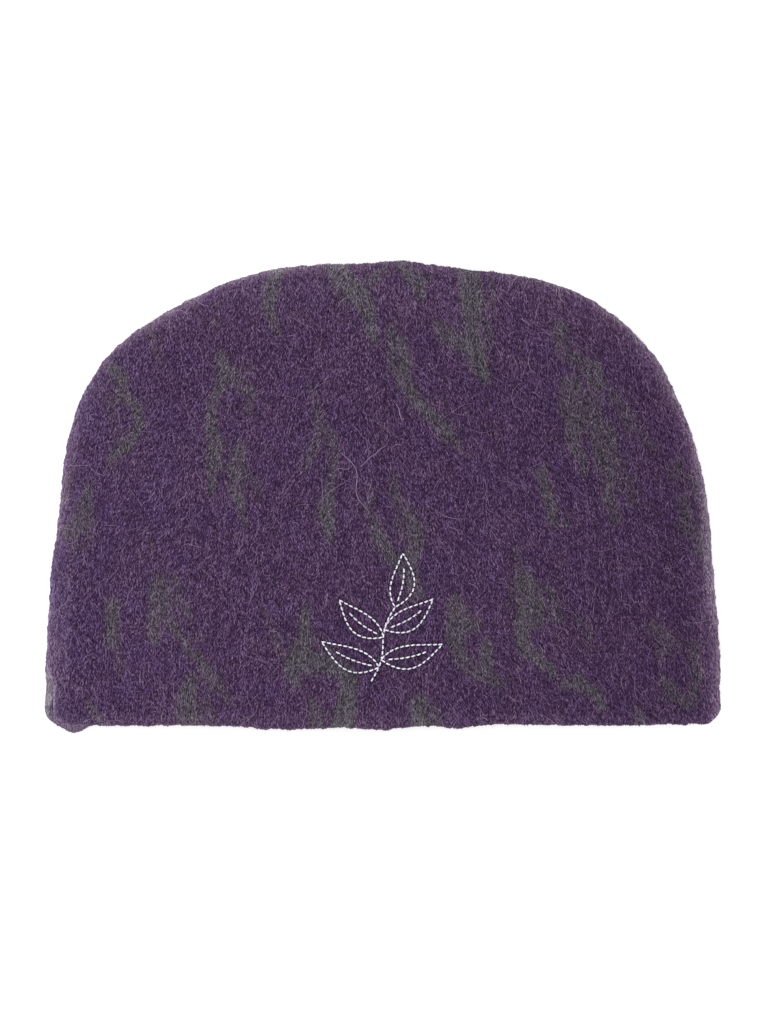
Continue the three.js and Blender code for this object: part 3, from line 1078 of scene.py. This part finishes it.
class Maker:
    # one material: node() sets a new node's settings first, then the values or links of its sockets
    def __init__(self, name):
        self.material = bpy.data.materials.new(name)
        self.material.use_nodes = True
        self.tree = self.material.node_tree
        self.shader = self.tree.nodes["Principled BSDF"]

    def node(self, kind, settings=None, sockets=None, output=0):
        made = self.tree.nodes.new(kind)
        for key, value in (settings or {}).items():
            if key == "stops":
                self.setStops(made.color_ramp, value)
            else:
                setattr(made, key, value)
        self.feed(made, sockets or {})
        return Field(self, made.outputs[output])

    def setStops(self, ramp, stops):
        while len(ramp.elements) < len(stops):
            ramp.elements.new(0.5)
        for element, (place, colour) in zip(ramp.elements, stops):
            element.position = place
            element.color = (*colour, 1)

    def feed(self, made, sockets):
        for key, value in sockets.items():
            if isinstance(value, Field):
                self.tree.links.new(value.socket, made.inputs[key])
            else:
                made.inputs[key].default_value = value

    def noise(self, place, stretch, detail, roughness):
        scaled = self.node("ShaderNodeVectorMath", {"operation": "MULTIPLY"}, {0: place, 1: stretch})
        sockets = {"Vector": scaled, "Scale": 1.0, "Detail": detail, "Roughness": roughness}
        return self.node("ShaderNodeTexNoise", None, sockets)

    def ramp(self, value, stops):
        return self.node("ShaderNodeValToRGB", {"stops": stops}, {0: value})

    def between(self, value, low, high):
        return self.node("ShaderNodeMapRange", None, {"Value": value, "From Min": low, "From Max": high})

    def mixColours(self, factor, first, second):
        return self.node("ShaderNodeMix", {"data_type": "RGBA"}, {0: factor, 6: first, 7: second}, 2)

    def attribute(self, name, output):
        return self.node("ShaderNodeAttribute", {"attribute_name": name}, None, output)


def screen(red, green, blue):
    # a colour as it shows on screen, from 0 to 255, turned into the linear light that a shader takes
    return tuple(((value / 255 + 0.055) / 1.055) ** 2.4 for value in (red, green, blue))


def shades(look, name):
    # one colour's stops, from its darkest to its palest
    return [(place, screen(*colour)) for place, colour in zip(look["steps"], look[name])]


knitLook = {
    "steps": (0.0, 0.5, 1.0),
    "plum": [(26, 10, 32), (52, 31, 59), (106, 78, 113)],
    "violet": [(25, 9, 36), (50, 28, 63), (100, 73, 117)],
    "olive": [(18, 15, 20), (62, 59, 64), (122, 119, 124)],
    # the colours of the painted pale edge, where the knit turns away from above
    "edge": [(56, 38, 63), (102, 84, 109), (148, 131, 153)],
    # painted shade in the holes of the knit
    "holeShade": (17, 4, 24),
    "jitter": (1.3, 1.3, 0),         # mm that the loops stray
    "strands": (2.6, 1.2, 1),        # felted strands to a millimetre, across and along the columns
    "fine": (6.0, 3.2, 1),
    "loopHeight": 0.16,              # against 1 for the strands
    "fineHeight": 1.1,
    "lightRange": (0.75, 1.4),       # heights that are drawn darkest and lightest: painted shade low in the knit, painted light on its tops
    "holeShadeRange": (0.0, 0.12),
    # painted light that makes the back's corner paler
    "cornerLight": 0.4,
    "drift": (0.09, 0.09, 1),        # clouds of plum in the violet
    "driftRange": (0.35, 0.65),
    "patchFray": 0.8,
    "patchRange": (0.05, 0.95),
    "oliveMost": 0.85,
    # painted light: how far the pale edge's colours take over, how much of the painted hole shade they
    # fill, and how much lighter the left is drawn than the right
    "paintedEdgeMost": 0.8,
    "edgeFill": 0.7,
    "paintedSideLight": 0.08,
    "roughness": 0.95,
    "specular": 0.15,
    "bump": 0.7,
    "bumpDistance": 0.0007,
    "sheen": 0.2,
    "sheenTint": (137, 119, 146),
}


def knitMaterial(name):
    # loops and the holes between them, on the knit's own grid, with felted fibres over both; the colour
    # follows the height, with painted shade low down and in the holes and painted light on the tops
    m = Maker(name)
    place = m.attribute("knit", 1)
    jitter = m.node("ShaderNodeTexNoise", None, {"Vector": place, "Scale": 0.6, "Detail": 1.0}, 1)
    sockets = {0: jitter, 1: knitLook["jitter"], 2: place}
    moved = m.node("ShaderNodeVectorMath", {"operation": "MULTIPLY_ADD"}, sockets)
    column = m.node("ShaderNodeSeparateXYZ", None, {0: moved}, 0) * (math.tau / knit["column"])
    row = m.node("ShaderNodeSeparateXYZ", None, {0: moved}, 1) * (math.tau / knit["row"])

    def wave(phase):
        return m.node("ShaderNodeMath", {"operation": "COSINE"}, {0: phase})

    loops = -0.5 * wave(2 * column) + 0.2 * wave(column) + 0.25 * wave(row)
    loops = loops + 0.25 * wave(column - row) + 0.35 * wave(0.5 * column + 0.5 * row)
    strands = m.noise(place, knitLook["strands"], 3.0, 0.7)
    fine = m.noise(place, knitLook["fine"], 2.0, 0.6)
    height = knitLook["loopHeight"] * loops + strands + knitLook["fineHeight"] * fine
    # painted light: the knit is drawn lighter where it stands high, on the left side and at the back's
    # corner
    across = m.between(m.node("ShaderNodeSeparateXYZ", None, {0: place}, 0), -140, 140)
    corner = m.between(m.attribute("edge", 2), 1, 2)
    light = m.between(height, *knitLook["lightRange"]) + knitLook["paintedSideLight"] * (0.5 - across)
    light = light + knitLook["cornerLight"] * corner

    def shaded(name):
        return m.ramp(light, shades(knitLook, name))

    drift = m.between(m.noise(place, knitLook["drift"], 2.0, 0.5), *knitLook["driftRange"])
    ground = m.mixColours(drift, shaded("plum"), shaded("violet"))
    frayed = m.attribute("olive", 2) + knitLook["patchFray"] * (strands - 0.5)
    patch = m.between(frayed, *knitLook["patchRange"])
    ground = m.mixColours(knitLook["oliveMost"] * patch, ground, shaded("olive"))
    # painted light: the pale edge's colours laid over the ground
    edge = knitLook["paintedEdgeMost"] * m.between(m.attribute("edge", 2), 0, 1)
    ground = m.mixColours(edge, ground, shaded("edge"))
    # painted shade in the holes, less of it where the pale edge is painted
    depth = m.between(1 - height, *knitLook["holeShadeRange"]) * (1 - knitLook["edgeFill"] * edge)
    sockets = {"Strength": knitLook["bump"], "Distance": knitLook["bumpDistance"], "Height": height}
    m.feed(m.shader, {
        "Base Color": m.mixColours(depth, ground, (*screen(*knitLook["holeShade"]), 1)),
        "Roughness": knitLook["roughness"],
        "Normal": m.node("ShaderNodeBump", None, sockets),
        "Sheen Weight": knitLook["sheen"],
        "Sheen Tint": (*screen(*knitLook["sheenTint"]), 1),
        "Specular IOR Level": knitLook["specular"],
    })
    return m.material


pileLook = {
    "steps": (0.0, 0.5, 0.9, 1.0),
    "violet": [(21, 6, 31), (89, 59, 109), (142, 119, 161), (188, 169, 197)],
    "plum": [(25, 8, 29), (95, 64, 103), (152, 126, 157), (194, 176, 194)],
    "olive": [(10, 8, 11), (105, 101, 109), (147, 143, 149), (190, 187, 190)],
    "roughness": 0.75,
    "specular": 0.25,
}


def pileMaterial():
    # each strand has its own tone and tint
    m = Maker("pile")
    tone, tint = m.attribute("tone", 2), m.attribute("tint", 2)
    violet, plum, olive = [m.ramp(tone, shades(pileLook, name)) for name in ("violet", "plum", "olive")]
    purple = m.mixColours(m.between(tint, 0, tones["plumTint"]), violet, plum)
    m.feed(m.shader, {
        "Base Color": m.mixColours(m.between(tint, tones["plumTint"], 1), purple, olive),
        "Roughness": pileLook["roughness"],
        "Specular IOR Level": pileLook["specular"],
    })
    return m.material


threadLook = {
    "steps": (0.3, 0.6),
    "thread": [(205, 198, 222), (250, 248, 255)],
    "roughness": 0.4,
    "sheen": 0.2,
}


def threadMaterial():
    m = Maker("stitch_thread")
    place = m.node("ShaderNodeTexCoord", None, None, 3)
    lustre = m.noise(place, (900, 900, 900), 2.0, 0.5)
    m.feed(m.shader, {
        "Base Color": m.ramp(lustre, shades(threadLook, "thread")),
        "Roughness": threadLook["roughness"],
        "Sheen Weight": threadLook["sheen"],
    })
    return m.material


frontKnit.data.materials.append(knitMaterial("brushed_knit_front"))
backKnit.data.materials.append(knitMaterial("brushed_knit_back"))
strandMaterial = pileMaterial()
for made in pilePieces:
    made.data.materials.append(strandMaterial)
stitchedSprig.data.materials.append(threadMaterial())
print("materials made")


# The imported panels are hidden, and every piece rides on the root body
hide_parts("front_panel")
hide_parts("back_panel")
for piece in [frontKnit, backKnit] + pilePieces:
    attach(piece, "root")
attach(stitchedSprig, "root")


def declareCloth(skin):
    # works out the edge vectors of each panel's flat layout; nothing is done with them
    corners = skin["flats"][skin["triangles"]]
    (ax, ay), (bx, by) = (corners[:, 1] - corners[:, 0]).T, (corners[:, 2] - corners[:, 0]).T


declareCloth(frontSkins["outside"])
declareCloth(backSkins["outside"])


# Floor, light and camera
studio = {
    "floorSize": 8.0,
    "floorColour": (0.93, 0.93, 0.93, 1),
    "floorRoughness": 0.9,
    "floorGlow": 0.3,        # light that the floor gives off by itself, as a lit white table does
    "skyStrength": 0.88,
    "keyPower": 6.4,
    "keyPlace": (-0.14, 0.06, 0.95),
    "keySize": 1.3,
    "lens": 100.0,
    "viewHeight": 377.5,
    "viewMiddle": (0.4, -6.1),
    "viewLevel": 6.5,
}


def makeFloor():
    half = studio["floorSize"] / 2 / mm
    corners = [(-half, -half, 0), (half, -half, 0), (half, half, 0), (-half, half, 0)]
    floor = makeObject("floor", corners, [[0, 1, 2, 3]])
    m = Maker("pale_floor")
    m.feed(m.shader, {
        "Base Color": studio["floorColour"],
        "Roughness": studio["floorRoughness"],
        "Emission Color": studio["floorColour"],
        "Emission Strength": studio["floorGlow"],
    })
    floor.data.materials.append(m.material)


def addKeyLight():
    data = bpy.data.lights.new("key", "AREA")
    data.size = studio["keySize"]
    data.energy = studio["keyPower"]
    lamp = bpy.data.objects.new("key", data)
    lamp.location = studio["keyPlace"]
    lamp.rotation_mode = "QUATERNION"
    lamp.rotation_quaternion = (-Vector(studio["keyPlace"])).to_track_quat("-Z", "Y")
    bpy.context.scene.collection.objects.link(lamp)


def makeSky():
    sky = bpy.data.worlds.new("studio")
    sky.use_nodes = True
    background = sky.node_tree.nodes["Background"]
    background.inputs["Color"].default_value = (1, 1, 1, 1)
    background.inputs["Strength"].default_value = studio["skyStrength"]
    bpy.context.scene.world = sky


def makeCamera():
    data = bpy.data.cameras.new("camera")
    data.lens = studio["lens"]
    camera = bpy.data.objects.new("camera", data)
    distance = studio["viewHeight"] * data.lens / data.sensor_width
    x, y = studio["viewMiddle"]
    camera.location = Vector((x, y, studio["viewLevel"] + distance)) * mm
    bpy.context.scene.collection.objects.link(camera)
    bpy.context.scene.camera = camera


makeFloor()
addKeyLight()
makeSky()
makeCamera()
bpy.context.scene.view_settings.view_transform = "Standard"
print("studio ready")
